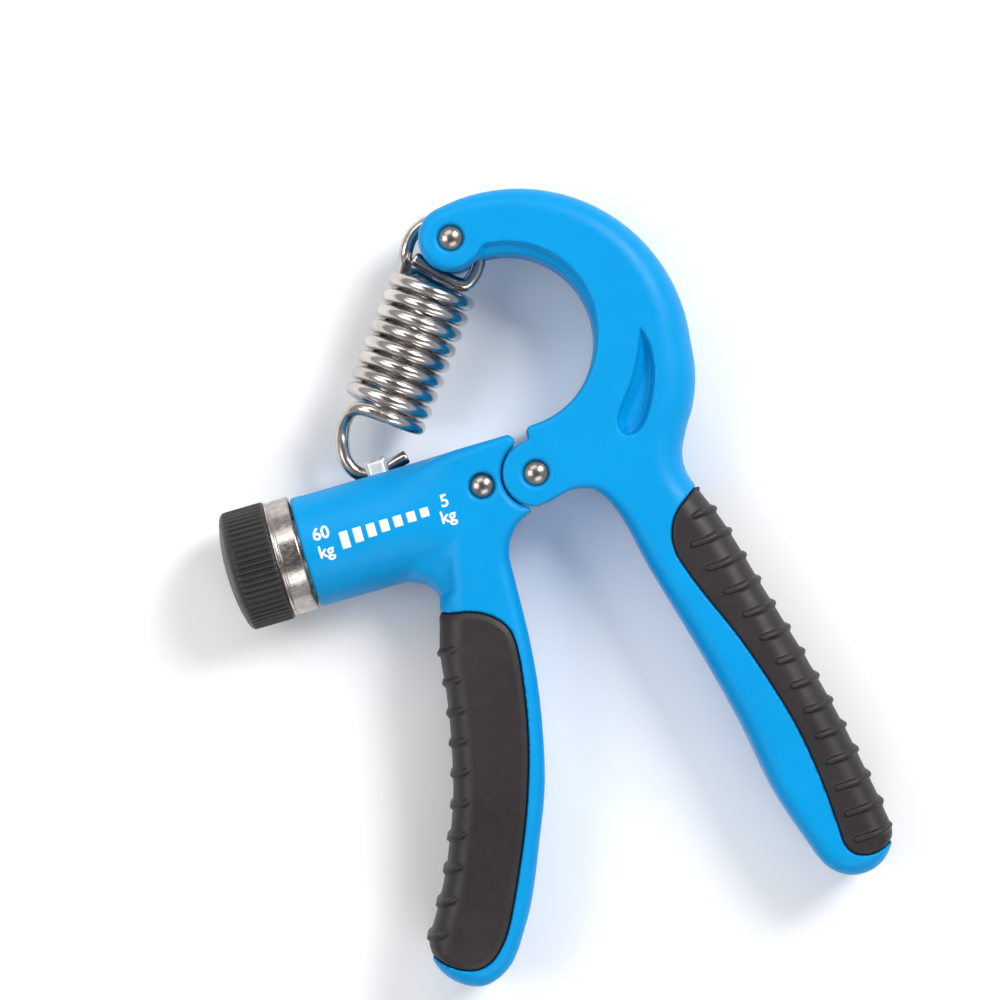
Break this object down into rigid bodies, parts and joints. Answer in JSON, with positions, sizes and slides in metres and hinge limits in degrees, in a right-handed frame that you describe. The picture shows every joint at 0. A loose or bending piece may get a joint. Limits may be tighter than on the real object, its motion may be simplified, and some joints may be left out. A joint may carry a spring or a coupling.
{
  "type": "hand grip strengthener",
  "caption": "Spring-loaded squeeze grip for hand and forearm training, with an arc frame, a pivoting finger lever and a knob on a screw barrel that sets the resistance.",
  "frame": {"origin": "on the hinge axis, in the flat back face of the fixed frame", "axes": "+X along the barrel from the knob to the hinge, +Y from the handles to the arc, +Z from the back face to the front face"},
  "size_m": [0.1096, 0.1441, 0.0224],
  "materials": {
    "blue_plastic": "fine matt, soft touch",
    "black_rubber": "matt overmoulded rubber",
    "knob_plastic": "fine ribbed, satin",
    "ring_chrome": "polished, slightly hazy",
    "rivet_nickel": "polished nickel",
    "spring_steel": "bright nickel plated wire",
    "zinc_steel": "zinc plated",
    "zinc_casting": "bright zinc plated casting",
    "white_nylon": "natural nylon"
  },
  "bodies": {
    "frame": {"fixed_frame": "blue_plastic", "palm_grip": "black_rubber", "hinge_rivet": "rivet_nickel", "anchor_rivet": "rivet_nickel", "hinge_rivet_washer": "zinc_steel", "anchor_rivet_washer": "zinc_steel"},
    "lever": {"lever_housing": "blue_plastic", "finger_grip": "black_rubber", "hinge_tongue": "zinc_steel", "housing_rivet": "rivet_nickel", "housing_rivet_washer": "zinc_steel", "barrel_end_bush": "white_nylon"},
    "knob": {"knob_cap": "knob_plastic", "knob_ring": "ring_chrome", "knob_insert": "white_nylon", "lead_screw": "zinc_steel", "thrust_washer": "zinc_steel", "retaining_clip": "zinc_steel"},
    "carriage": {"carriage_nut": "zinc_casting"},
    "bush": {"anchor_bush": "zinc_steel"},
    "spring_top": {"spring_upper_loop": "spring_steel", "spring_coils": "spring_steel"},
    "spring_low": {"spring_last_turn": "spring_steel"},
    "spring_end": {"spring_hook": "spring_steel"}
  },
  "joints": [
    {"name": "handle_pivot", "type": "hinge", "parent": "frame", "child": "lever", "pos_m": [0, 0, 0.0106], "axis": [0, 0, 1], "range_deg": [0, 36], "stiffness_Nm_per_rad": 12, "springref_deg": -15.47},
    {"name": "knob_spin", "type": "hinge", "parent": "lever", "child": "knob", "pos_m": [-0.055, -0.0022, 0.0106], "axis": [1, 0, 0], "range_deg": [-1440, 3600]},
    {"name": "nut_slide", "type": "slide", "parent": "lever", "child": "carriage", "axis": [1, 0, 0], "range_m": [-0.01001, 0.00401]},
    {"name": "bush_turn", "type": "hinge", "parent": "frame", "child": "bush", "pos_m": [-0.0031, 0.0469, 0.0106], "axis": [0, 0, 1], "range_deg": [-9.17, 3.68]},
    {"name": "spring_swing", "type": "hinge", "parent": "bush", "child": "spring_top", "pos_m": [-0.0031, 0.0469, 0.0106], "axis": [0, 0, 1], "range_deg": [-0.02, 10.91], "deforming": ["spring_upper_loop"]},
    {"name": "spring_stretch", "type": "slide", "parent": "spring_top", "child": "spring_low", "axis": [-0.608, -0.794, 0], "range_m": [-0.00001, 0.01601], "deforming": ["spring_coils", "spring_last_turn"]},
    {"name": "spring_adjust", "type": "slide", "parent": "spring_low", "child": "spring_end", "axis": [-0.608, -0.794, 0], "range_m": [-0.00238, 0.00594], "deforming": ["spring_hook"]}
  ],
  "couplings": [
    {"joint": "nut_slide", "follows": "knob_spin", "m_per_rad": -0.00015915},
    {"joint": "bush_turn", "follows": "knob_spin", "ratio": -0.0025419},
    {"joint": "spring_swing", "follows": "handle_pivot", "ratio": 0.30254},
    {"joint": "spring_stretch", "follows": "handle_pivot", "m_per_rad": 0.025465},
    {"joint": "spring_adjust", "follows": "knob_spin", "m_per_rad": 0.000094302}
  ]
}
